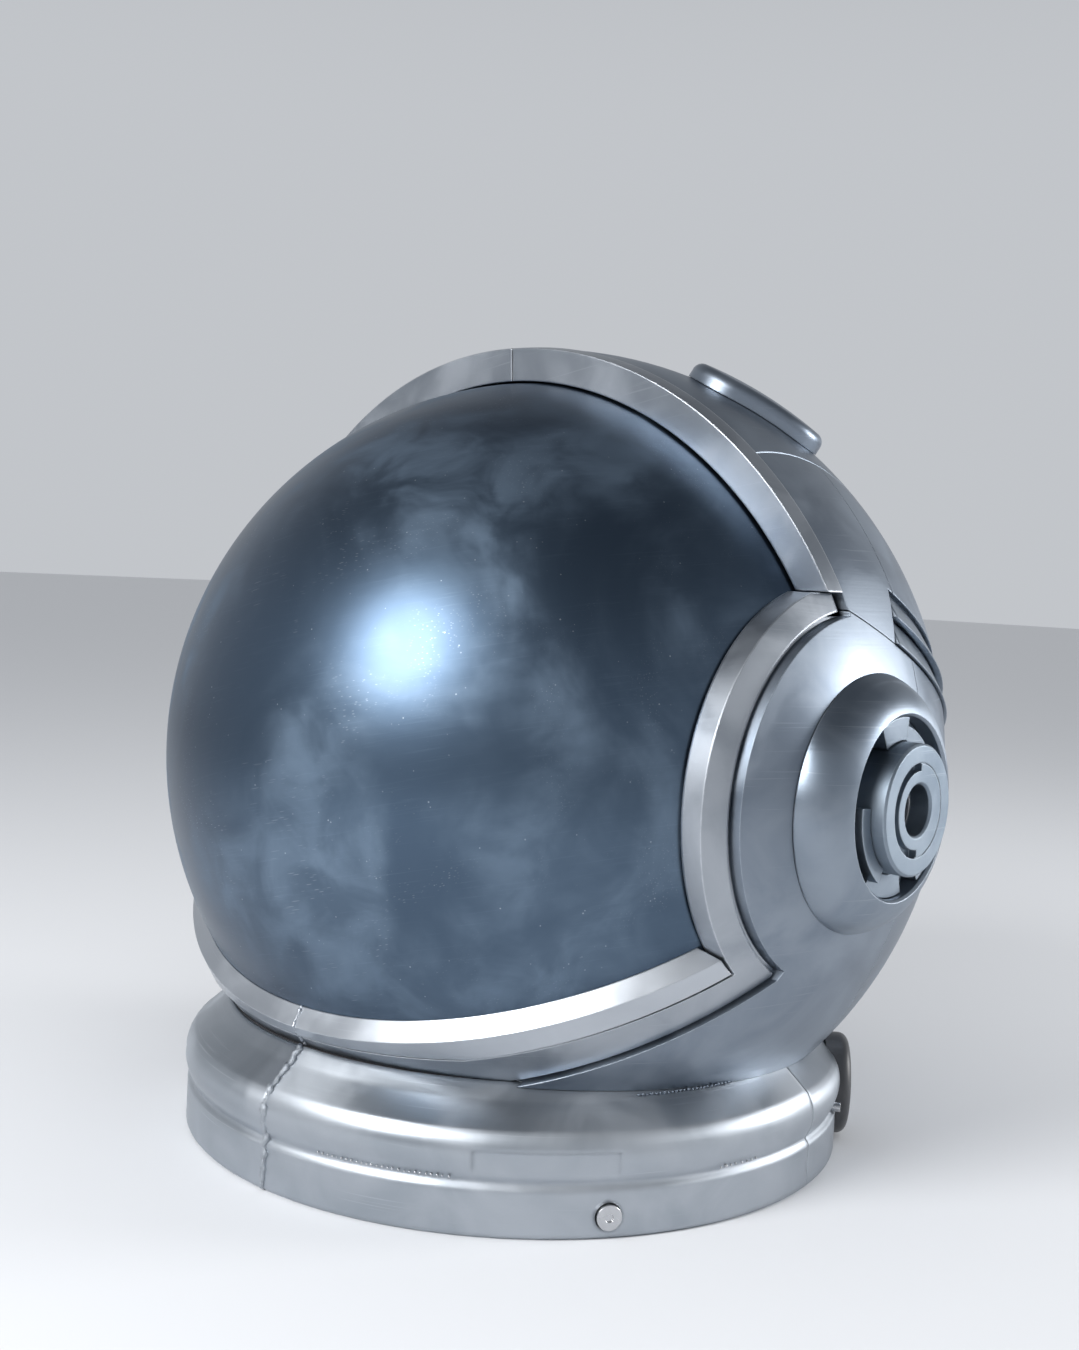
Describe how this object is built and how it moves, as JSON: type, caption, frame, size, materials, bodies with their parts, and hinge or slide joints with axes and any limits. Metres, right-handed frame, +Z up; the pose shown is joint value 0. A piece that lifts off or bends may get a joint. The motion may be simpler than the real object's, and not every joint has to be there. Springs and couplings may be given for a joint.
{
  "type": "astronaut helmet",
  "caption": "Round astronaut helmet with a tilting mirrored bubble visor, turn locks at the ears and a locking neck ring.",
  "frame": {"origin": "on the axis of the neck ring, at its lowest face", "axes": "+Z up, -Y out of the face, +X to the wearer's left"},
  "size_m": [0.3564, 0.3206, 0.32],
  "materials": {
    "shell_silver": "metallic silver coat over fine layer lines, satin",
    "louvre_silver": "metallic silver coat, satin",
    "trim_silver": "metallic silver coat, satin, fine grain",
    "lip_silver": "metallic silver coat, brushed along its length",
    "visor_mirror": "mirror coat, dark chrome, lightly smudged",
    "ring_metal": "satin, fine turned lines",
    "collar_metal": "satin",
    "gasket_rubber": "matt",
    "screw_steel": "satin",
    "dish_silver": "metallic silver coat, satin",
    "ear_collar_grey": "metallic grey coat, satin",
    "knob_grey": "blue-grey coat, grainy",
    "post_metal": "satin",
    "washer_nylon": "matt",
    "hub_plastic": "satin",
    "ring_lock_dark": "satin black",
    "lock_cap_metal": "satin",
    "liner_black": "satin",
    "bracket_black": "satin",
    "cushion_fabric": "padded knit"
  },
  "bodies": {
    "shell": {"crown_panel": "shell_silver", "side_panel_front_left": "shell_silver", "side_panel_front_right": "shell_silver", "side_panel_rear_left": "shell_silver", "side_panel_rear_right": "shell_silver", "cheek_shell_left": "shell_silver", "cheek_shell_right": "shell_silver", "nape_shell_left": "shell_silver", "nape_shell_right": "shell_silver", "brow_arch_left": "trim_silver", "brow_arch_right": "trim_silver", "visor_surround_left": "trim_silver", "visor_surround_right": "trim_silver", "crown_pod_left": "shell_silver", "crown_pod_right": "shell_silver", "rear_louvres_left": "louvre_silver", "rear_louvres_right": "louvre_silver", "neck_ring_front_left": "ring_metal", "neck_ring_front_right": "ring_metal", "neck_ring_rear": "ring_metal", "neck_collar": "collar_metal", "neck_gasket": "gasket_rubber", "collar_screws": "screw_steel", "ring_studs": "screw_steel", "ear_dish_left": "dish_silver", "ear_dish_right": "dish_silver", "ear_collar_left": "ear_collar_grey", "ear_collar_right": "ear_collar_grey", "pivot_post_left": "post_metal", "pivot_post_right": "post_metal", "friction_washer_left": "washer_nylon", "friction_washer_right": "washer_nylon", "liner_shell": "liner_black", "liner_brackets": "bracket_black", "crown_cushion": "cushion_fabric", "side_cushion_left": "cushion_fabric", "side_cushion_right": "cushion_fabric", "nape_cushion": "cushion_fabric"},
    "visor": {"visor_bubble": "visor_mirror", "visor_lip_left": "lip_silver", "visor_lip_right": "lip_silver", "visor_hub_left": "hub_plastic", "visor_hub_right": "hub_plastic", "hub_screws": "screw_steel"},
    "left_ear_lock": {"ear_lock_left": "knob_grey"},
    "right_ear_lock": {"ear_lock_right": "knob_grey"},
    "left_ring_lock": {"ring_lock_left": "ring_lock_dark", "ring_lock_cap_left": "lock_cap_metal"},
    "right_ring_lock": {"ring_lock_right": "ring_lock_dark", "ring_lock_cap_right": "lock_cap_metal"}
  },
  "joints": [
    {"name": "visor_tilt", "type": "hinge", "parent": "shell", "child": "visor", "pos_m": [0, 0.003, 0.152], "axis": [-1, 0, 0], "range_deg": [0, 100]},
    {"name": "left_ear_lock_turn", "type": "hinge", "parent": "shell", "child": "left_ear_lock", "pos_m": [0.17, 0.003, 0.152], "axis": [1, 0, 0], "range_deg": [0, 60]},
    {"name": "right_ear_lock_turn", "type": "hinge", "parent": "shell", "child": "right_ear_lock", "pos_m": [-0.17, 0.003, 0.152], "axis": [-1, 0, 0], "range_deg": [0, 60]},
    {"name": "left_ring_lock_turn", "type": "hinge", "parent": "shell", "child": "left_ring_lock", "pos_m": [0.10366, 0.07812, 0.022], "axis": [0.7986, 0.6018, 0], "range_deg": [0, 90]},
    {"name": "right_ring_lock_turn", "type": "hinge", "parent": "shell", "child": "right_ring_lock", "pos_m": [-0.10366, 0.07812, 0.022], "axis": [-0.7986, 0.6018, 0], "range_deg": [0, 90]}
  ]
}
